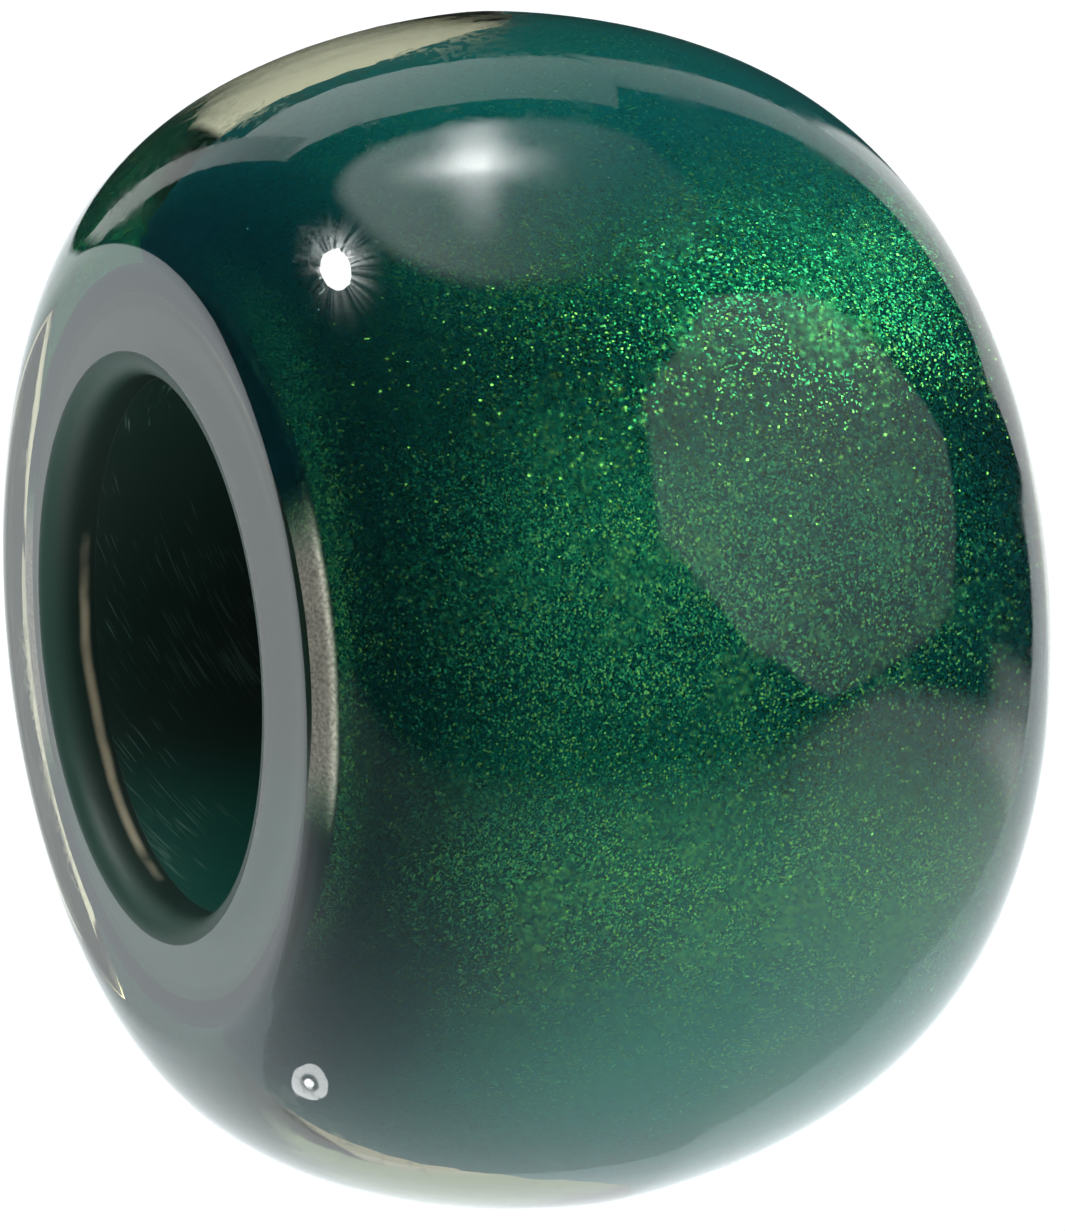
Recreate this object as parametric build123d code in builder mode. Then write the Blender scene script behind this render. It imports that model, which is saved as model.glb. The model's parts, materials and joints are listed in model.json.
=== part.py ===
"""Glass charm bead with a wide bore, in millimetres.

A barrel of clear glass is fused round a tube of dark glass whose outside carries a coat of glitter. The bore runs
along Z, and the origin is the middle of the bead on the bore's centre line.
"""

import os
from math import radians, tan

from build123d import *

# Clear casing
bead_diameter = 14.0  # across the belly, the widest place
bead_length = 9.1  # from flat to flat
flat_diameter = 9.1  # where each ground flat meets the shoulder
shoulder_slope = 14.0  # degrees that the shoulder falls away from the plane of the flat
shoulder_fullness = 0.87  # share of the step from flat to belly that the shoulder keeps its slope for
belly_fullness = 0.15  # share of the half length that the belly keeps straight up for
shoulder_round = 0.8  # radius that softens the corner of flat and shoulder
bore_diameter = 6.2
lip_round = 0.3  # radius of the bore's polished lip
end_layer = 0.6  # clear glass between each flat and the end of the core

# Core
core_wall = 0.95  # dark glass round the bore
coat_thickness = 0.3
core_corner_round = 0.15  # radius of the coat's outer corners
glass_gap = 0.03  # clearance between neighbouring glasses

half_length = bead_length / 2
bead_radius = bead_diameter / 2
flat_radius = flat_diameter / 2
bore_radius = bore_diameter / 2
core_length = bead_length - 2 * end_layer
core_radius = bore_radius + core_wall
coat_inner_radius = core_radius + glass_gap
coat_radius = coat_inner_radius + coat_thickness

os.makedirs("parts", exist_ok=True)

# Clear casing: one curve from flat to belly, mirrored and turned round the bore, then bored, hollowed for the core
# and rounded where it was ground
shoulder_step = shoulder_fullness * (bead_radius - flat_radius)
belly_point = (bead_radius, 0)
belly_handle = (bead_radius, belly_fullness * half_length)
shoulder_handle = (flat_radius + shoulder_step, half_length - shoulder_step * tan(radians(shoulder_slope)))
flat_point = (flat_radius, half_length)

with BuildPart() as clear_casing:
    with BuildSketch(Plane.XZ):
        with BuildLine():
            Bezier(belly_point, belly_handle, shoulder_handle, flat_point)
            Polyline(flat_point, (0, half_length), (0, 0), belly_point)
        make_face()
    revolve(axis=Axis.Z)
    mirror(about=Plane.XY)
    flat_corners = clear_casing.faces().filter_by(GeomType.PLANE).edges()
    fillet(flat_corners, radius=shoulder_round)
    Cylinder(bore_radius, bead_length, mode=Mode.SUBTRACT)
    flats = clear_casing.faces().filter_by(GeomType.PLANE)
    bore_corners = [flat.edges().sort_by(SortBy.LENGTH)[0] for flat in flats]
    fillet(bore_corners, radius=lip_round)
    Cylinder(coat_radius + glass_gap, core_length + 2 * glass_gap, mode=Mode.SUBTRACT)

clear_casing.part.label = "clear_casing"
export_step(clear_casing.part, "parts/clear_casing.step")

# Shimmer coat: a thin tube of glitter glass with softened outer corners
with BuildPart() as shimmer_coat:
    Cylinder(coat_radius, core_length)
    fillet(shimmer_coat.edges().filter_by(GeomType.CIRCLE), radius=core_corner_round)
    Cylinder(coat_inner_radius, core_length, mode=Mode.SUBTRACT)

shimmer_coat.part.label = "shimmer_coat"
export_step(shimmer_coat.part, "parts/shimmer_coat.step")

# Dark core: the tube that lines the bore, flush with the casing's own stretch of bore
with BuildPart() as dark_core:
    Cylinder(core_radius, core_length)
    Cylinder(bore_radius, core_length, mode=Mode.SUBTRACT)

dark_core.part.label = "dark_core"
export_step(dark_core.part, "parts/dark_core.step")

print("casing volume mm3", round(clear_casing.part.volume, 2))
print("coat volume mm3", round(shimmer_coat.part.volume, 2))
print("core volume mm3", round(dark_core.part.volume, 2))
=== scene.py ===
"""Dresses the glass charm bead: clear glass over a glitter coat and a dark bored core, on a pale floor.

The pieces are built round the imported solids, in metres. The bore stands upright along Z, and the middle
of the bead is the origin.
"""

import json
from collections import namedtuple
from math import pi, radians, tan

import bpy
import numpy as np
from bpy.props import FloatProperty, FloatVectorProperty, PointerProperty
from mathutils import Euler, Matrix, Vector


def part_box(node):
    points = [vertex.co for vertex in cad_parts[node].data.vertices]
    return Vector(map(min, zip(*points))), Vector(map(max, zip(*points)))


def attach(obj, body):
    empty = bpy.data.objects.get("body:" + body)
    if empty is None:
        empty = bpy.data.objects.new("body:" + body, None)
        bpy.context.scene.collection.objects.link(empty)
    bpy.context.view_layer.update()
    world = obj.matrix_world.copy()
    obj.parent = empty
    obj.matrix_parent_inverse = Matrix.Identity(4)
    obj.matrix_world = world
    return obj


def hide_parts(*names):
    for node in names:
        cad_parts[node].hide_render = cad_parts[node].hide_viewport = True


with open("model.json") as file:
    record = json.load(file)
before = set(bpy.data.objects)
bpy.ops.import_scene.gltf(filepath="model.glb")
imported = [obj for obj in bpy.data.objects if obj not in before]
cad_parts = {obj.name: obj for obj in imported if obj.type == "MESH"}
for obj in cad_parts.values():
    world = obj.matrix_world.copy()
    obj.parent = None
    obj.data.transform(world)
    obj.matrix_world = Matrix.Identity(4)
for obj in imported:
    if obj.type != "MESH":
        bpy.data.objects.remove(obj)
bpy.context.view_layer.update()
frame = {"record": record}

bl_info = {
    "name": "Glass charm bead",
    "version": (1, 0, 0),
    "blender": (4, 5, 0),
    "location": "3D View > Sidebar > Charm bead",
    "description": "Makes a glass charm bead with a glitter core, and a small studio round it",
    "category": "Add Mesh",
}

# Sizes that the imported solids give
BODY = "root"
MM = 0.001
BEAD_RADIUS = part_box("clear_casing")[1].x
HALF_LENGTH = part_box("clear_casing")[1].z
COAT_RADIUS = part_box("shimmer_coat")[1].x
CORE_HALF_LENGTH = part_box("shimmer_coat")[1].z
CORE_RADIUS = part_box("dark_core")[1].x
BORE_RADIUS = next(m for m in frame["record"]["mounts"] if m["name"] == "bore")["dims"]["r_mm"] * MM

# Where the camera stands, seen from the bead's middle, and its lens (lens and sensor in millimetres)
CAMERA_DISTANCE = 63.3 * MM
CAMERA_HEIGHT = radians(25.17)
CAMERA_ROLL = radians(-96.03)
LENS = 157.9
SENSOR = 36.0
SHIFT = (0.0214, -0.0039)

# How finely the turned surfaces are cut, and how finely the outside is worked out before that
TURNS = 288
CURVE_STEPS = 72
ROUND_STEPS = 20
FINE_STEPS = 4000

# How close to a sharp corner the last ring beside it lies, so that its shading does not spread
CREASE = 0.005 * MM

# How fine the patterns in the finishes are, in cells for each metre
WAVES = 420.0
RIPPLES = 2600.0
SMEARS = 5200.0
SMEAR_PATCHES = 900.0
SEAM_WANDER = 1200.0
PAINTED_HIGHLIGHT_STREAKS = 2500.0
FLAKE_DRIFT = 900.0
FROST_GRAIN = 26000.0
DRILL_PATCHES = 700.0


def length(name, default, description, **more):
    """A size in metres, shown in the sidebar."""
    return FloatProperty(
        name=name,
        description=description,
        default=default,
        min=0.0,
        subtype="DISTANCE",
        unit="LENGTH",
        **more,
    )


def angle(name, default, description):
    """An angle, shown in degrees in the sidebar."""
    return FloatProperty(
        name=name, description=description, default=default, subtype="ANGLE", unit="ROTATION"
    )


def share(name, default, description):
    """A plain number that weighs one thing against another."""
    return FloatProperty(name=name, description=description, default=default, min=0.0)


def colour(name, default, description):
    """A colour, in linear light."""
    return FloatVectorProperty(
        name=name,
        description=description,
        default=default,
        size=3,
        min=0.0,
        max=1.0,
        subtype="COLOR",
    )


class CasingSettings(bpy.types.PropertyGroup):
    """Sizes and tint of the clear casing."""

    flat_diameter: length("Flat diameter", 9.1 * MM, "Where each ground flat meets the shoulder")
    shoulder_slope: angle("Shoulder slope", radians(14.0), "How far it falls away from the flat's plane")
    shoulder_fullness: share("Shoulder fullness", 0.87, "Share of its step out that keeps the slope")
    belly_fullness: share("Belly fullness", 0.15, "Share of the half length that the belly stays straight")
    shoulder_round: length("Shoulder round", 0.8 * MM, "Radius between the flat and the shoulder")
    lip_round: length("Lip round", 0.3 * MM, "Radius of the bore's polished lip")
    tint: colour("Glass tint", (0.5, 0.52, 0.08), "What deep glass lets through")
    depth: share("Glass depth", 74.0, "How fast the tint builds up, for each metre of glass")
    wave: length("Wave height", 0.012 * MM, "Depth of the slow waves in the polish", precision=6)
    ripple: length("Ripple height", 0.0012 * MM, "Depth of the quick ripples in the polish", precision=6)
    smear: share("Smear", 0.12, "Roughness of the faint smears on the polish")
    drilled: colour("Drilled lip", (0.017, 0.05, 0.038), "The dull lip of the bore, over the dark core")
    drilled_deep: colour("Drilled wall", (0.006, 0.02, 0.015), "The bore's wall where the core begins")
    # The painted highlight: a pale streak on the bore's wall where the core begins, thickest on one side,
    # standing in for light caught there
    painted_highlight: colour("Painted highlight", (0.24, 0.22, 0.155), "What is left on the wall where the core begins")
    painted_highlight_depth: length("Residue depth", 0.42 * MM, "How far below the flat the residue runs")
    painted_highlight_wander: length("Residue wander", 0.08 * MM, "How far the residue strays up and down")
    painted_highlight_reach: length("Residue reach", 0.09 * MM, "Where the residue ends, on either side of its line")
    painted_highlight_side: angle("Residue side", radians(107), "Where the residue is thickest, round from X")


class CoatSettings(bpy.types.PropertyGroup):
    """Flakes of the glitter coat."""

    unevenness: share("Unevenness", 0.07, "Share of the coat's thickness that comes and goes")
    flake: length("Flake size", 0.019 * MM, "Width of the common flakes", precision=6)
    spark: length("Spark size", 0.021 * MM, "Width of the rare, large flakes", precision=6)
    spread: share("Flake spread", 0.34, "How far the common flakes lie out of true")
    thinning: share("Thinning", 0.65, "Share of the flakes missing at the upper end, aside and behind")
    spark_spread: share("Spark spread", 0.6, "How far the large flakes lie out of true")
    ground: colour("Ground glass", (0.0015, 0.058, 0.073), "The glass that the flakes lie in")
    # Painted shade: the ground glass is painted darker toward the upper end, +Z
    shaded_upper_ground: colour("Upper ground glass", (0.0003, 0.011, 0.016), "The same glass near the upper end")
    deep: colour("Deep flake", (0.003, 0.038, 0.02), "The darkest flakes")
    green: colour("Green flake", (0.004, 0.125, 0.07), "Most of the flakes")
    bright: colour("Bright flake", (0.022, 0.34, 0.17), "The palest green flakes")
    gold: colour("Gold flake", (0.2, 0.60, 0.15), "A few flakes")
    corner: length("Corner", 0.15 * MM, "Radius of the coat's outer corners")
    # The pale frosting on the cut ends is partly real and partly a painted highlight: it is painted strongest
    # on the sides toward -Y and +Y
    frost_and_glint: colour("Frosted end", (0.56, 0.56, 0.5), "The cut ends of the coat")
    frost_and_glint_side: angle("Frosted side", radians(-95), "Where the ends are frosted most, round from X")


class CoreSettings(bpy.types.PropertyGroup):
    """Glass of the bored core."""

    glass: colour("Core glass", (0.005, 0.022, 0.016), "The nearly black green of the bore")
    # Painted light: the core is painted greener toward -X, standing in for light that falls into the bore on
    # that side
    painted_light_green: colour("Painted light glass", (0.001, 0.045, 0.032), "The greener glass on one side of the core")
    scratch: colour("Scratch", (0.08, 0.16, 0.13), "Fine marks that the drill left")
    scratch_width: length("Scratch width", 0.03 * MM, "Width of a drill mark", precision=6)


class StageSettings(bpy.types.PropertyGroup):
    """The floor, the lights and the camera."""

    floor_glow: share("Floor glow", 0.97, "Light that the floor gives by itself")
    floor_colour: colour("Floor colour", (0.1, 0.1, 0.1), "The room's light that the floor throws back")
    backdrop: share("Backdrop", 1.0, "White that the camera sees behind the floor")
    dusk: share("Dusk", 0.24, "Soft light from all sides")
    overhead: share("Overhead light", 7.0, "Soft light from the side where the overhead light hangs")
    tabletop: share("Tabletop light", 7.5, "Soft light from the side of the white tabletop")
    gloom: share("Gloom", 0.02, "What the glass mirrors where no card hangs")


# Shapes


def bezier(points, steps):
    """A cubic curve: each of four points weighted by its Bernstein polynomial, at even steps."""
    t = np.linspace(0, 1, steps)[:, None]
    a, b, c, d = np.asarray(points, float)
    return (1 - t) ** 3 * a + 3 * (1 - t) ** 2 * t * b + 3 * (1 - t) * t**2 * c + t**3 * d


def arc(centre, radius, start, end, steps):
    """Points on a circle about a centre, from one angle to another, in radians."""
    angle = np.linspace(start, end, steps)
    return np.asarray(centre) + radius * np.stack((np.cos(angle), np.sin(angle)), -1)


def rounded_shoulder(casing):
    """The upper half of the outside, from belly to flat, as (radius, height) points.

    The belly and shoulder are one cubic curve. A ball of the rounding's radius that touches both the curve
    and the flat from inside has its centre where the curve, moved inwards by that radius, is that radius
    below the flat.
    """
    step = casing.shoulder_fullness * (BEAD_RADIUS - casing.flat_diameter / 2)
    flat_radius = casing.flat_diameter / 2
    controls = (
        (BEAD_RADIUS, 0),
        (BEAD_RADIUS, casing.belly_fullness * HALF_LENGTH),
        (flat_radius + step, HALF_LENGTH - step * tan(casing.shoulder_slope)),
        (flat_radius, HALF_LENGTH),
    )
    fine = bezier(controls, FINE_STEPS)
    along = np.gradient(fine, axis=0)
    outward = np.stack((along[:, 1], -along[:, 0]), -1)
    outward /= np.linalg.norm(outward, axis=1)[:, None]
    centres = fine - casing.shoulder_round * outward
    touch = np.searchsorted(centres[:, 1], HALF_LENGTH - casing.shoulder_round)
    slope = np.arctan2(outward[touch, 1], outward[touch, 0])
    curve = fine[np.linspace(0, touch, CURVE_STEPS).astype(int)]
    corner = arc(centres[touch], casing.shoulder_round, slope, pi / 2, ROUND_STEPS)
    corner[:, 1] = np.minimum(corner[:, 1], HALF_LENGTH)
    return np.concatenate((curve, corner[1:]))


def run(start, end, steps):
    """Even points on a straight run, both ends included."""
    return np.linspace(start, end, steps)


def mirrored(upper):
    """A closed loop: a profile that goes from the belly over the top to the inside, and back below it."""
    return np.concatenate((upper, upper[-2:0:-1] * (1, -1)))


def turned(name, profile, radius_at=None):
    """A closed body: a loop of (radius, height) points carried round Z in even steps.

    The loop runs upwards on the outside, so that its faces point out. A function of radius, turn and height
    may change the radius.
    """
    turn = np.linspace(0, 2 * pi, TURNS, endpoint=False)[:, None]
    radius, height = np.broadcast_arrays(*profile.T)
    if radius_at is not None:
        radius = radius_at(radius, turn, height)
    points = np.stack(np.broadcast_arrays(np.cos(turn) * radius, np.sin(turn) * radius, height), -1)
    return grid_object(name, points, wrap=(True, True))


def grid_object(name, points, wrap=(False, False), uv=None):
    """A mesh of quads on a grid of points, joined to its start along each side that wraps."""
    rows, columns = points.shape[:2]
    index = np.arange(rows * columns).reshape(rows, columns)
    last_row, last_column = rows - (not wrap[0]), columns - (not wrap[1])
    here = index[:last_row, :last_column]
    next_row = np.roll(index, -1, axis=0)[:last_row, :last_column]
    next_column = np.roll(index, -1, axis=1)[:last_row, :last_column]
    across = np.roll(np.roll(index, -1, axis=0), -1, axis=1)[:last_row, :last_column]
    quads = np.stack((here, next_row, across, next_column), -1).reshape(-1, 4)
    mesh = bpy.data.meshes.new(name)
    mesh.vertices.add(rows * columns)
    mesh.vertices.foreach_set("co", points.astype(np.float32).ravel())
    mesh.loops.add(quads.size)
    mesh.loops.foreach_set("vertex_index", quads.astype(np.int32).ravel())
    mesh.polygons.add(len(quads))
    mesh.polygons.foreach_set("loop_start", np.arange(0, quads.size, 4, dtype=np.int32))
    mesh.polygons.foreach_set("use_smooth", np.ones(len(quads), bool))
    if uv is not None:
        layer = mesh.uv_layers.new(name="UVMap")
        layer.data.foreach_set("uv", uv.reshape(-1, 2)[quads.ravel()].astype(np.float32).ravel())
    mesh.update(calc_edges=True)
    mesh.validate()
    piece = bpy.data.objects.new(name, mesh)
    bpy.context.scene.collection.objects.link(piece)
    return piece


def uneven_coat(coat):
    """The coat's radius at each turn and height.

    What stands proud of the core is thinned by a share that waves round and along the core, as the mean of
    sines of the turn and the height, from nothing to the whole share. Each wave has its number of turns
    round, its rise for each millimetre along, and its start.
    """
    waves = np.array(((3, 0.9, 0.0), (7, -1.7, 1.1), (13, 2.6, 2.3), (5, 4.1, 0.4), (19, -3.3, 4.0)))
    turns, rise, start = waves.T

    def radius_at(radius, turn, height):
        phase = turns * turn[..., None] + rise * height[..., None] / MM + start
        wave = np.sin(phase).mean(axis=-1)
        return CORE_RADIUS + (radius - CORE_RADIUS) * (1 - coat.unevenness * (0.5 + 0.5 * wave))

    return radius_at


# Shaders


class Wire:
    """A socket that takes part in sums: an expression on values adds its Math nodes."""

    def __init__(self, shader, socket):
        self.shader = shader
        self.socket = socket

    def sum(self, operation, first, second):
        return self.shader.node("Math", {"operation": operation}, {0: first, 1: second})

    def __add__(self, other):
        return self.sum("ADD", self, other)

    def __radd__(self, other):
        return self.sum("ADD", other, self)

    def __sub__(self, other):
        return self.sum("SUBTRACT", self, other)

    def __rsub__(self, other):
        return self.sum("SUBTRACT", other, self)

    def __mul__(self, other):
        return self.sum("MULTIPLY", self, other)

    def __rmul__(self, other):
        return self.sum("MULTIPLY", other, self)

    def __pow__(self, other):
        return self.sum("POWER", self, other)

    def __gt__(self, other):
        return self.sum("GREATER_THAN", self, other)


class Shader:
    """A node tree that is being wired up."""

    def __init__(self, tree):
        self.tree = tree
        tree.nodes.clear()

    def node(self, kind, settings=None, sockets=None, output=0):
        """Adds a node, sets its settings, fills its sockets with values or wires, and gives one output."""
        made = self.tree.nodes.new("ShaderNode" + kind)
        for name, value in (settings or {}).items():
            if name == "stops":
                fill_ramp(made.color_ramp, value)
            else:
                setattr(made, name, value)
        for name, value in (sockets or {}).items():
            if isinstance(value, Wire):
                self.tree.links.new(value.socket, made.inputs[name])
            else:
                made.inputs[name].default_value = value
        return Wire(self, made.outputs[output])

    def place(self):
        """The point on the piece, in metres."""
        return self.node("TexCoord", output="Object")

    def mix(self, factor, first, second):
        """A colour between two."""
        return self.node("Mix", {"data_type": "RGBA"}, {0: factor, 6: first, 7: second}, output=2)

    def scaled(self, vector, amount):
        """A colour or direction times a value."""
        return self.node("VectorMath", {"operation": "SCALE"}, {0: vector, "Scale": amount})

    def fade(self, value, start, end):
        """0 before start and 1 after end, eased in between."""
        sockets = {"Value": value, "From Min": start, "From Max": end}
        return self.node("MapRange", {"interpolation_type": "SMOOTHSTEP"}, sockets)

    def from_axis(self, place):
        """Distance from the bead's axis."""
        flat = self.node("VectorMath", {"operation": "MULTIPLY"}, {0: place, 1: (1.0, 1.0, 0.0)})
        return self.node("VectorMath", {"operation": "LENGTH"}, {0: flat}, "Value")

    def facing_way(self, place, turn):
        """1 on the side of the bead that lies this turn round from X, down to -1 on the far side."""
        outward = self.node("VectorMath", {"operation": "MULTIPLY"}, {0: place, 1: (1.0, 1.0, 0.0)})
        unit = self.node("VectorMath", {"operation": "NORMALIZE"}, {0: outward})
        way = (np.cos(turn), np.sin(turn), 0.0)
        return self.node("VectorMath", {"operation": "DOT_PRODUCT"}, {0: unit, 1: way}, "Value")

    def absolute(self, value):
        """A value without its sign."""
        return self.node("Math", {"operation": "ABSOLUTE"}, {0: value})

    def along(self, axis, place):
        """One coordinate of a place: X, Y or Z."""
        return self.node("SeparateXYZ", sockets={0: place}, output=axis)

    def from_middle(self, place):
        """Distance from the bead's middle along the axis, either way."""
        return self.absolute(self.along("Z", place))

    def noise(self, place, scale, detail, distortion=0.0):
        """Soft cells of a size, with finer ones on top and a twist."""
        sockets = {"Vector": place, "Scale": scale, "Detail": detail, "Distortion": distortion}
        return self.node("TexNoise", sockets=sockets)

    def finish(self, surface, kind="OutputMaterial", volume=None):
        """Ends the tree in its output node."""
        end = self.tree.nodes.new("ShaderNode" + kind)
        self.tree.links.new(surface.socket, end.inputs["Surface"])
        if volume is not None:
            self.tree.links.new(volume.socket, end.inputs["Volume"])


def fill_ramp(ramp, stops):
    """Sets a ramp's stops from (place, colour) pairs."""
    while len(ramp.elements) < len(stops):
        ramp.elements.new(0.5)
    for element, (at, tone) in zip(ramp.elements, stops):
        element.position = at
        element.color = (*tone, 1.0)


def new_material(name):
    material = bpy.data.materials.new(name)
    material.use_nodes = True
    return material, Shader(material.node_tree)


def opaque(tone):
    """A colour with its fourth value."""
    return (*tone, 1.0)


def clear_glass(casing):
    """Polished glass, with slow waves and quick ripples where it was worked by hand, and faint smears.

    The wall and lip of the bore are drilled and dull, with a painted highlight: a pale streak where the core
    begins, standing in for light caught there. Light on its way to a dull surface goes straight through, a
    little dimmed.
    """
    material, shader = new_material("clear_glass")
    place = shader.place()
    depth = shader.from_middle(place)
    polished = 1 - shader.fade(depth, HALF_LENGTH - 0.1 * MM, HALF_LENGTH - 0.01 * MM)
    waves = shader.noise(place, WAVES, 0.0) * casing.wave
    ripples = shader.noise(place, RIPPLES, 1.0) * casing.ripple
    height = (waves + ripples) * polished
    bump = shader.node("Bump", sockets={"Strength": 1.0, "Distance": 1.0, "Height": height})
    smears = shader.noise(place, SMEARS, 3.0, distortion=1.5)
    smeared = shader.fade(smears * shader.noise(place, SMEAR_PATCHES, 1.0), 0.24, 0.34)
    glass = shader.node(
        "BsdfPrincipled",
        sockets={
            "Base Color": opaque((1.0, 1.0, 1.0)),
            "Roughness": smeared * casing.smear * polished,
            "IOR": 1.5,
            "Transmission Weight": 1.0,
            "Normal": bump,
        },
    )

    # The painted highlight: a pale streak round the bore's wall where the core begins, strongest on one side,
    # standing in for light caught there
    wander = shader.noise(place, SEAM_WANDER, 2.0) * casing.painted_highlight_wander
    off_line = shader.absolute(depth + wander - (HALF_LENGTH - casing.painted_highlight_depth))
    line = 1 - shader.fade(off_line, 0.01 * MM, casing.painted_highlight_reach)
    streaks = shader.noise(place, PAINTED_HIGHLIGHT_STREAKS, 2.0) * 0.4 - 0.2
    facing = shader.facing_way(place, casing.painted_highlight_side)
    painted_highlight = line * shader.fade(facing + streaks, 0.66, 1.0)
    deeper = shader.fade(depth, HALF_LENGTH - 0.05 * MM, HALF_LENGTH - 0.45 * MM)
    drilled = shader.mix(deeper, opaque(casing.drilled), opaque(casing.drilled_deep))
    bored = shader.node(
        "BsdfPrincipled",
        sockets={
            "Base Color": shader.mix(painted_highlight, drilled, opaque(casing.painted_highlight)),
            "Roughness": 0.5,
            "IOR": 1.5,
            "Specular IOR Level": 0.25,
        },
    )
    rim = BORE_RADIUS + casing.lip_round
    lip = 1 - shader.fade(shader.from_axis(place), rim - 0.02 * MM, rim)
    body = shader.node("MixShader", sockets={0: lip, 1: glass, 2: bored})
    straight = shader.node("BsdfTransparent", sockets={"Color": (0.9, 0.9, 0.9, 1.0)})
    soft_ray = shader.node("LightPath", output="Is Diffuse Ray")
    tinted = {"Color": opaque(casing.tint), "Density": casing.depth}
    absorbed = shader.node("VolumeAbsorption", sockets=tinted)
    shader.finish(shader.node("MixShader", sockets={0: soft_ray, 1: body, 2: straight}), volume=absorbed)
    return material


def flake_facing(shader, coat, flakes, sparks, is_spark):
    """The way that each flake faces: the surface's own, pushed aside by its cell's colour less grey."""
    lean = shader.node("VectorMath", {"operation": "SUBTRACT"}, {0: flakes, 1: (0.5, 0.5, 0.5)})
    spark_lean = shader.node("VectorMath", {"operation": "SUBTRACT"}, {0: sparks, 1: (0.5, 0.5, 0.5)})
    common = shader.scaled(lean, coat.spread)
    rare = shader.scaled(spark_lean, coat.spark_spread)
    tilt = shader.node("Mix", {"data_type": "VECTOR"}, {0: is_spark, 4: common, 5: rare}, output=1)
    normal = shader.node("NewGeometry", output="Normal")
    leaning = shader.node("VectorMath", sockets={0: normal, 1: tilt})
    return shader.node("VectorMath", {"operation": "NORMALIZE"}, {0: leaning})


def glitter_glass(coat):
    """Dense glitter in dark glass.

    Each flake is a cell of a Voronoi pattern, with its own tilt and tone, and covers the glass that it lies
    in more or less. Flakes are fewer toward the upper end, on both sides along X and at the back, toward +Y.
    The cut ends of the coat carry pale frosting, painted strongest on the sides toward -Y and +Y as a painted
    highlight.
    """
    material, shader = new_material("glitter_glass")
    place = shader.place()
    flakes = shader.node("TexVoronoi", sockets={"Vector": place, "Scale": 1 / coat.flake}, output="Color")
    sparks = shader.node("TexVoronoi", sockets={"Vector": place, "Scale": 1 / coat.spark}, output="Color")
    flake_tone = shader.node("SeparateColor", sockets={0: flakes}, output="Red")
    is_spark = shader.node("SeparateColor", sockets={0: sparks}, output="Green") > 0.93
    tone = flake_tone * 0.8 + shader.noise(place, FLAKE_DRIFT, 3.0) * 0.3
    stops = ((0.0, coat.deep), (0.4, coat.green), (0.85, coat.bright), (1.0, coat.gold))
    flake_colour = shader.node("ValToRGB", {"stops": stops}, {0: tone})
    colour_here = shader.mix(is_spark, flake_colour, opaque(coat.gold))

    depth = shader.from_middle(place)
    end = shader.fade(depth, CORE_HALF_LENGTH - 0.12 * MM, CORE_HALF_LENGTH - 0.04 * MM)
    # Frosting on the cut ends, painted strongest toward -Y and +Y as a painted highlight where light catches
    # them
    side = shader.absolute(shader.facing_way(place, coat.frost_and_glint_side))
    frosted_and_lit = end * (shader.fade(side, 0.885, 0.975) * 0.95 + 0.05)
    rubbed = 1 - shader.fade(depth, CORE_HALF_LENGTH - 0.09 * MM, CORE_HALF_LENGTH) * 0.75
    grain = shader.noise(place, FROST_GRAIN, 2.0) * 2.6
    frost_and_glint = shader.scaled(coat.frost_and_glint, grain * rubbed)

    # Painted shade: the ground glass darkens toward the upper end, +Z
    z = shader.along("Z", place)
    upper_shade = shader.fade(z, -0.2 * CORE_HALF_LENGTH, 0.85 * CORE_HALF_LENGTH)
    ground = shader.mix(upper_shade, opaque(coat.ground), opaque(coat.shaded_upper_ground))
    glass = shader.node(
        "BsdfPrincipled",
        sockets={"Base Color": ground, "Roughness": 0.5, "Specular IOR Level": 0.0},
    )
    flake = shader.node(
        "BsdfPrincipled",
        sockets={
            "Base Color": shader.mix(frosted_and_lit, colour_here, frost_and_glint),
            "Metallic": 1 - frosted_and_lit,
            "Roughness": frosted_and_lit * 0.4 + 0.15,
            "Specular Tint": (0.3, 0.3, 0.3, 1.0),
            "Normal": flake_facing(shader, coat, flakes, sparks, is_spark),
        },
    )
    upper = shader.fade(z, 0.1 * CORE_HALF_LENGTH, 0.9 * CORE_HALF_LENGTH) * coat.thinning
    sideways = shader.absolute(shader.along("X", place))
    beside = shader.fade(sideways, 0.62 * COAT_RADIUS, COAT_RADIUS) * coat.thinning
    behind = shader.fade(shader.along("Y", place), 0.0, 0.6 * COAT_RADIUS) * coat.thinning
    density = (1 - upper) * (1 - beside) * (1 - behind) * (1 - end)
    covered = (flake_tone * 0.75 + 0.2) * density
    cover = shader.node("Math", {"operation": "MAXIMUM"}, {0: covered, 1: frosted_and_lit})
    shader.finish(shader.node("MixShader", sockets={0: cover, 1: glass, 2: flake}))
    return material


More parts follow.
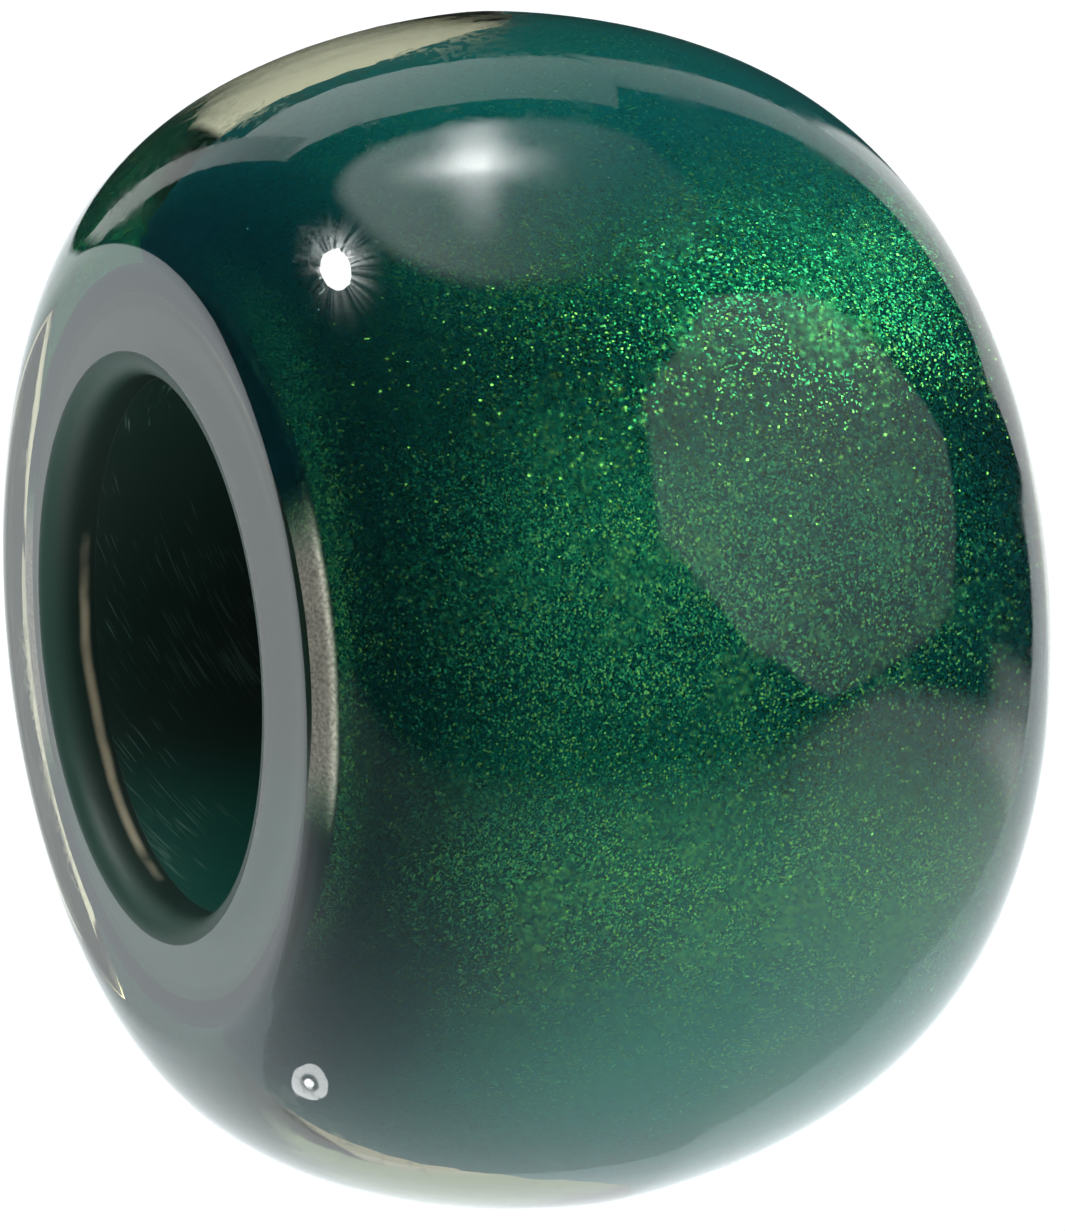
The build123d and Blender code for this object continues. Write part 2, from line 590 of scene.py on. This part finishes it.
def dark_glass(core):
    """Nearly black glass, with painted light: greener toward -X. The bore's wall has fine slanting marks of
    the drill.
    """
    material, shader = new_material("dark_glass")
    place = shader.place()
    x, y, z = (shader.along(axis, place) for axis in "XYZ")
    slanting = shader.node("CombineXYZ", sockets={0: x * 0.05, 1: y * 0.05, 2: z - x * 0.5})
    marks = shader.noise(slanting, 1 / core.scratch_width, 2.0)
    patches = shader.noise(place, DRILL_PATCHES, 1.0)
    scratched = shader.fade(marks * (patches + 0.5), 0.62, 0.72)
    # Painted light: greener glass toward -X, where light falls into the bore
    painted_light_green = shader.fade(x * -1 + patches * 0.8 * MM, 1.2 * MM, 2.6 * MM)
    glass = shader.mix(painted_light_green, opaque(core.glass), opaque(core.painted_light_green))
    bore = 1 - shader.fade(shader.from_axis(place), BORE_RADIUS + 0.05 * MM, BORE_RADIUS + 0.12 * MM)
    surface = shader.node(
        "BsdfPrincipled",
        sockets={
            "Base Color": shader.mix(scratched * bore * 0.4, glass, opaque(core.scratch)),
            "Roughness": marks * bore * 0.2 + 0.3,
            "IOR": 1.5,
        },
    )
    shader.finish(surface)
    return material


# Pieces


def dress(piece, material, slot, *nodes):
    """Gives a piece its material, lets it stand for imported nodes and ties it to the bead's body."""
    piece.data.materials.append(material)
    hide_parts(*nodes)
    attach(piece, BODY)


class CHARM_OT_casing(bpy.types.Operator):
    """Make the clear casing: the barrel's outside, the flats, the lips, and an inner wall within the core"""

    bl_idname = "charm.casing"
    bl_label = "Clear casing"

    def execute(self, context):
        casing = context.scene.charm_casing
        lip = casing.lip_round
        lip_centre = (BORE_RADIUS + lip, HALF_LENGTH - lip)
        inner_radius = (BORE_RADIUS + CORE_RADIUS) / 2
        inner_height = CORE_HALF_LENGTH - (inner_radius - BORE_RADIUS)
        outside = rounded_shoulder(casing)
        upper = np.concatenate(
            (
                outside[:-1],
                run(outside[-1], (BORE_RADIUS + lip, HALF_LENGTH), 8)[:-1],
                arc(lip_centre, lip, pi / 2, pi, ROUND_STEPS)[:-1],
                run((BORE_RADIUS, HALF_LENGTH - lip), (BORE_RADIUS, CORE_HALF_LENGTH + CREASE), 5),
                run((BORE_RADIUS, CORE_HALF_LENGTH), (inner_radius, inner_height), 3)[:-1],
                run((inner_radius, inner_height), (inner_radius, 0), 9),
            )
        )
        piece = turned("casing_glass", mirrored(upper))
        dress(piece, clear_glass(casing), "clear_glass", "clear_casing")
        return {"FINISHED"}


class CHARM_OT_coat(bpy.types.Operator):
    """Make the glitter coat: a thin tube round the core with softened outer corners"""

    bl_idname = "charm.coat"
    bl_label = "Glitter coat"

    def execute(self, context):
        coat = context.scene.charm_coat
        corner = coat.corner
        corner_centre = (COAT_RADIUS - corner, CORE_HALF_LENGTH - corner)
        upper = np.concatenate(
            (
                run((COAT_RADIUS, 0), (COAT_RADIUS, CORE_HALF_LENGTH - corner), 48)[:-1],
                arc(corner_centre, corner, 0, pi / 2, ROUND_STEPS)[:-1],
                run((COAT_RADIUS - corner, CORE_HALF_LENGTH), (CORE_RADIUS + CREASE, CORE_HALF_LENGTH), 4),
                run((CORE_RADIUS, CORE_HALF_LENGTH), (CORE_RADIUS, 0), 9),
            )
        )
        piece = turned("coat_glitter", mirrored(upper), uneven_coat(coat))
        dress(piece, glitter_glass(coat), "glitter_glass", "shimmer_coat")
        return {"FINISHED"}


class CHARM_OT_core(bpy.types.Operator):
    """Make the dark core that lines the bore"""

    bl_idname = "charm.core"
    bl_label = "Dark core"

    def execute(self, context):
        upper = np.concatenate(
            (
                run((CORE_RADIUS, 0), (CORE_RADIUS, CORE_HALF_LENGTH), 9)[:-1],
                run((CORE_RADIUS, CORE_HALF_LENGTH), (BORE_RADIUS + CREASE, CORE_HALF_LENGTH), 6),
                run((BORE_RADIUS, CORE_HALF_LENGTH), (BORE_RADIUS, CORE_HALF_LENGTH - CREASE), 2)[:-1],
                run((BORE_RADIUS, CORE_HALF_LENGTH - CREASE), (BORE_RADIUS, 0), 24),
            )
        )
        piece = turned("core_glass", mirrored(upper))
        dress(piece, dark_glass(context.scene.charm_core), "dark_glass", "dark_core")
        return {"FINISHED"}


# Stage

Card = namedtuple("Card", "name turn lift left right low high tilt corners reach glow edge fall tone")
Fall = namedtuple("Fall", "share way start end")
WHITE = (1.0, 1.0, 1.0)
EVEN = Fall(0.0, 0, 0.0, 1.0)

# How far a card with a reach of 1 hangs from the bead, and how far the floor goes, in metres
REACH = 0.3
FLOOR_REACH = 1.0

# How finely a card is cut: steps round it, and rings on either side of this share of the way out
CARD_TURNS = 192
CARD_RINGS = 8
CARD_EDGE = 0.9

# The studio stands upright in the camera's picture. Each card faces the bead from a turn (round from the
# camera, to its right) and a lift (up from level), and spreads left, right, down and up from there, all in
# degrees. It is tilted in its own plane. Corners: 0 for an oval, 4 for a rectangle, 8 for an octagon. The
# reach is how far off it hangs, the glow its brightness, and the edge the share of it that fades to nothing.
# The glow falls by a share along a way, in degrees round from the card's right, between two places on it.
# The tone is its colour.
CARDS = (
    Card(
        "tabletop", 0, -90, 80.7, 80.8, 86.7, 62.2, -4, 4, 1.3, 1.0, 0.4, Fall(0.76, 110, -0.5, 1.1), WHITE
    ),
    Card("back_wall", 180, 0, 51, 62, 60, 13, 0, 4, 1.25, 1.35, 0.1, EVEN, (0.95, 1.0, 1.02)),
    Card("side_wall", 120, -10, 18, 14, 8, 7, 0, 4, 1.3, 0.7, 0.6, EVEN, WHITE),
    Card("right_wall", 145, 12.5, 9, 20, 13, 13, 30, 4, 1.2, 1.2, 0.1, EVEN, WHITE),
    Card("left_strip", -136, 34, 4, 4, 24, 24, -14, 4, 1.1, 1.1, 0.12, Fall(0.4, 90, -0.1, 0.4), WHITE),
    Card("top_strip", 180, 60, 11, 31, 8, 9.5, 0, 4, 1.1, 1.3, 0.06, Fall(0.6, 180, -0.35, 0.2), WHITE),
    Card("right_strip", 150, 35, 6.5, 6.5, 24, 24, -28, 4, 1.15, 1.0, 0.2, Fall(0.5, 90, -0.2, 0.25), WHITE),
    Card("round_light", 0, 90, 28.5, 32, 30, 15.5, 0, 0, 1.0, 1.75, 0.22, Fall(0.9, 0, -0.35, 0.35), WHITE),
    Card("eight_light", 62.5, 20.5, *[34.5] * 4, 8, 8, 1.0, 1.0, 0.06, Fall(0.5, -35, -0.1, 0.7), WHITE),
    Card("spot", -67.5, 51, *[20] * 4, 0, 0, 0.9, 90, 0.05, EVEN, WHITE),
    Card("glitter_lamp", 14, 80, *[16] * 4, 0, 0, 0.95, 6.0, 0.5, EVEN, (1.0, 1.0, 0.75)),
    Card("flag", 126, -38, 14, 22, 13, 14, 28, 4, 0.95, 0.0, 0.1, EVEN, WHITE),
    Card("upper_flag", 165, 67, 16, 22, 12, 17, 0, 4, 0.95, 0.45, 0.1, EVEN, (0.8, 1.0, 0.8)),
    Card("ring_light", -126.5, -47, 5.2, 5.2, 5.0, 5.0, 0, 0, 0.8, 6, 0.05, EVEN, WHITE),
)

# The cards that only light from inside the glass meets, those that only the polish shows, and those that add
# their glow to what hangs behind them
SEEN_THROUGH_GLASS = ("glitter_lamp", "flag", "upper_flag")
SEEN_IN_POLISH = ("spot",)
ADDED = ("spot", "side_wall")

# The star at the heart of the round light: its place on the card, its arms (half width, half height and
# glow), how much sooner its right half ends, and the share of it that is lost on the camera's side
STAR_PLACE = (-0.055, 0.02)
STAR_ARMS = ((0.27, 0.12, 6.0), (0.11, 0.42, 7.0), (0.18, 0.22, 3.0))
STAR_RIGHT = 1.45
STAR_NEAR_LOSS = 0.4

# The spot: how far out its bright disc ends, and the glow of the halo round it
SPOT_DISC = 0.2
SPOT_HALO = 16.0


def studio_axes():
    """Right, up and back in the camera's picture, as the columns of a matrix.

    The camera looks down at the bead from the side of -Y, and is rolled until the bore lies across the
    picture.
    """
    back = Vector((0, -np.cos(CAMERA_HEIGHT), np.sin(CAMERA_HEIGHT)))
    upright = (-back).to_track_quat("-Z", "Y").to_matrix()
    return upright @ Euler((0, 0, CAMERA_ROLL)).to_matrix()


def card_outline(card, angle):
    """How far the outline is from the middle at each angle, 1 at its furthest.

    It is 1 for an oval, and for a polygon the cosine of half a corner's share over that of the angle from
    the middle of the side.
    """
    if card.corners == 0:
        return np.ones_like(angle)
    half = pi / card.corners
    start = half if card.corners == 4 else radians(card.tilt)
    return np.cos(half) / np.cos((angle - start) % (2 * half) - half)


def card_points(card):
    """A flat card on a polar grid, on a plane that faces the bead.

    Rings run from the middle to the outline, are stretched by the tangents of the card's spread each way and
    tilted. Also gives the place on that plane and the share of the way out.
    """
    inner = np.linspace(0, CARD_EDGE, CARD_RINGS)
    rings = np.concatenate((inner, np.linspace(CARD_EDGE, 1, CARD_RINGS)[1:]))
    turns = np.linspace(0, 2 * pi, CARD_TURNS, endpoint=False)
    share_out, angle = np.meshgrid(rings, turns, indexing="ij")
    out = share_out * card_outline(card, angle)
    grow = 2**0.5 if card.corners == 4 else 1.0
    across, up = out * np.cos(angle) * grow, out * np.sin(angle) * grow
    left, right, low, high = (tan(radians(x)) for x in (card.left, card.right, card.low, card.high))
    across = np.where(across < 0, across * left, across * right)
    up = np.where(up < 0, up * low, up * high)
    if card.corners == 4:
        tilt = radians(card.tilt)
        across, up = across * np.cos(tilt) - up * np.sin(tilt), across * np.sin(tilt) + up * np.cos(tilt)
    turn, lift = radians(card.turn), radians(card.lift)
    ahead = np.array((np.sin(turn) * np.cos(lift), np.sin(lift), np.cos(turn) * np.cos(lift)))
    side = np.array((np.cos(turn), 0, -np.sin(turn)))
    above = np.cross(ahead, side)
    points = ahead + across[..., None] * side + up[..., None] * above
    return REACH * card.reach * points @ np.array(studio_axes()).T, np.stack((across, up), -1), share_out


def star_glow(shader, uv):
    """A cross with soft arms, cut off sooner on its right and dimmer on the camera's side."""
    from_star = shader.node("VectorMath", {"operation": "SUBTRACT"}, {0: uv, 1: (*STAR_PLACE, 0.0)})
    across = shader.along("X", from_star)
    up = shader.along("Y", from_star)
    aside = shader.node("Math", {"operation": "MAXIMUM"}, {0: across * STAR_RIGHT, 1: across * -1})
    off = shader.absolute(up)
    arms = sum(
        (1 - shader.fade(aside, 0.0, wide)) * (1 - shader.fade(off, 0.0, high)) * glow
        for wide, high, glow in STAR_ARMS
    )
    return arms * (1 - shader.fade(up * -1, 0.0, 0.06) * STAR_NEAR_LOSS)


def spot_glow(shader, uv, share_out, glow):
    """A bright disc, and round it a halo of uneven rays that is strongest on one side."""
    disc = 1 - shader.fade(share_out, SPOT_DISC * 0.9, SPOT_DISC * 1.1)
    halo = 1 - shader.fade(share_out, SPOT_DISC * 0.5, 1.0)
    ray = shader.node("VectorMath", {"operation": "NORMALIZE"}, {0: uv})
    rays = shader.fade(shader.noise(ray, 7.0, 3.0), 0.42, 0.62) * 0.9 + 0.1
    upright = shader.fade(shader.along("Y", ray), -0.5, 0.9) * 0.8 + 0.2
    return glow * disc + halo**4 * rays * upright * SPOT_HALO


def card_light(card):
    """A glow that falls along its way, on a card whose edge fades to nothing.

    The round light has a star at its heart, the spot a halo, and the ring light a grey ring round a bright
    dot.
    """
    material, shader = new_material(card.name)
    share_out = shader.node("Attribute", {"attribute_name": "share_out"}, output="Fac")
    uv = shader.node("UVMap", {"uv_map": "UVMap"})
    way = (np.cos(radians(card.fall.way)), np.sin(radians(card.fall.way)), 0.0)
    along = shader.node("VectorMath", {"operation": "DOT_PRODUCT"}, {0: uv, 1: way}, "Value")
    glow = (1 - shader.fade(along, card.fall.start, card.fall.end) * card.fall.share) * card.glow
    if card.name == "round_light":
        glow = glow + star_glow(shader, uv)
    if card.name == "spot":
        glow = spot_glow(shader, uv, share_out, glow)
    if card.name == "ring_light":
        ring = shader.fade(share_out, 0.4, 0.6) * 0.8 + 0.2
        glow = glow * ring + (1 - shader.fade(share_out, 0.2, 0.3)) * card.glow * 2
    cover = 1 - shader.fade(share_out, 1 - card.edge, 1.0)
    clear = shader.node("BsdfTransparent")
    if card.name in ADDED:
        light = shader.node("Emission", sockets={"Color": opaque(card.tone), "Strength": glow * cover})
        shader.finish(shader.node("AddShader", sockets={0: light, 1: clear}))
    else:
        light = shader.node("Emission", sockets={"Color": opaque(card.tone), "Strength": glow})
        shader.finish(shader.node("MixShader", sockets={0: cover, 1: clear, 2: light}))
    material.cycles.emission_sampling = "NONE"
    return material


def hang_card(card):
    """Hangs a card that only gloss and glass can see, or one of the two."""
    points, uv, share_out = card_points(card)
    hung = grid_object("card_" + card.name, points, wrap=(False, True), uv=uv)
    layer = hung.data.attributes.new("share_out", "FLOAT", "POINT")
    layer.data.foreach_set("value", share_out.astype(np.float32).ravel())
    hung.data.materials.append(card_light(card))
    hung.visible_camera = False
    hung.visible_diffuse = False
    hung.visible_shadow = False
    hung.visible_glossy = card.name not in SEEN_THROUGH_GLASS
    hung.visible_transmission = card.name not in SEEN_IN_POLISH


def lay_floor(stage):
    """A flat square on a grid under the bead, which only the camera sees: a pale sheet, lit from below."""
    across = np.linspace(-FLOOR_REACH, FLOOR_REACH, 9)
    x, y = np.meshgrid(across, across, indexing="ij")
    floor = grid_object("floor", np.stack((x, y, np.full_like(x, -HALF_LENGTH)), -1))
    material, shader = new_material("pale_floor")
    sheet = shader.node(
        "BsdfPrincipled",
        sockets={
            "Base Color": opaque(stage.floor_colour),
            "Roughness": 1.0,
            "Specular IOR Level": 0.0,
            "Emission Color": opaque((1.0, 1.0, 1.0)),
            "Emission Strength": stage.floor_glow,
        },
    )
    shader.finish(sheet)
    floor.data.materials.append(material)
    floor.visible_diffuse = False
    floor.visible_glossy = False
    floor.visible_transmission = False
    floor.visible_shadow = False


def light_room(stage):
    """White behind the floor, and gloom for gloss and glass.

    Dull surfaces get soft light from the side of the overhead light, which is +X, and more from the side of
    the tabletop, which is -X.
    """
    world = bpy.data.worlds.new("room")
    world.use_nodes = True
    shader = Shader(world.node_tree)
    x = shader.along("X", shader.node("TexCoord", output="Generated"))
    from_above = shader.fade(x, 0.5, 1.0) * stage.overhead
    from_table = shader.fade(x * -1, 0.5, 1.0) * stage.tabletop
    soft = from_above + from_table + stage.dusk
    seen = shader.node("LightPath", output="Is Camera Ray")
    dull = shader.node("LightPath", output="Is Diffuse Ray")
    glow = seen * stage.backdrop + dull * soft + (1 - seen) * (1 - dull) * stage.gloom
    shader.finish(shader.node("Background", sockets={"Strength": glow}), "OutputWorld")
    world.cycles.sampling_method = "NONE"
    bpy.context.scene.world = world


def place_camera():
    """Looks down at the bead's middle, in the studio's axes."""
    camera = bpy.data.cameras.new("camera")
    camera.lens = LENS
    camera.sensor_width = SENSOR
    camera.shift_x, camera.shift_y = SHIFT
    camera.clip_start = MM
    camera.clip_end = 10.0
    stand = bpy.data.objects.new("camera", camera)
    axes = studio_axes()
    stand.location = CAMERA_DISTANCE * axes.col[2]
    stand.rotation_euler = axes.to_euler()
    bpy.context.scene.collection.objects.link(stand)
    bpy.context.scene.camera = stand


class CHARM_OT_stage(bpy.types.Operator):
    """Make the floor, the light cards, the room and the camera"""

    bl_idname = "charm.stage"
    bl_label = "Stage"

    def execute(self, context):
        stage = context.scene.charm_stage
        lay_floor(stage)
        for card in CARDS:
            hang_card(card)
        light_room(stage)
        place_camera()
        context.scene.view_settings.view_transform = "Standard"
        return {"FINISHED"}


class CHARM_PT_panel(bpy.types.Panel):
    """Lists the pieces and their settings"""

    bl_idname = "CHARM_PT_panel"
    bl_label = "Charm bead"
    bl_space_type = "VIEW_3D"
    bl_region_type = "UI"
    bl_category = "Charm bead"

    def draw(self, context):
        for operator, settings in PIECES:
            box = self.layout.box()
            box.operator(operator.bl_idname)
            group = getattr(context.scene, settings)
            for name in group.bl_rna.properties.keys():
                if name not in ("rna_type", "name"):
                    box.prop(group, name)


SETTINGS = (
    ("charm_casing", CasingSettings),
    ("charm_coat", CoatSettings),
    ("charm_core", CoreSettings),
    ("charm_stage", StageSettings),
)
PIECES = (
    (CHARM_OT_casing, "charm_casing"),
    (CHARM_OT_coat, "charm_coat"),
    (CHARM_OT_core, "charm_core"),
    (CHARM_OT_stage, "charm_stage"),
)


def register():
    for name, group in SETTINGS:
        bpy.utils.register_class(group)
        setattr(bpy.types.Scene, name, PointerProperty(type=group))
    for operator, _ in PIECES:
        bpy.utils.register_class(operator)
    bpy.utils.register_class(CHARM_PT_panel)


def unregister():
    bpy.utils.unregister_class(CHARM_PT_panel)
    for operator, _ in reversed(PIECES):
        bpy.utils.unregister_class(operator)
    for name, group in reversed(SETTINGS):
        delattr(bpy.types.Scene, name)
        bpy.utils.unregister_class(group)


def main():
    register()
    bpy.ops.charm.casing()
    bpy.ops.charm.coat()
    bpy.ops.charm.core()
    bpy.ops.charm.stage()


if __name__ == "__main__":
    main()
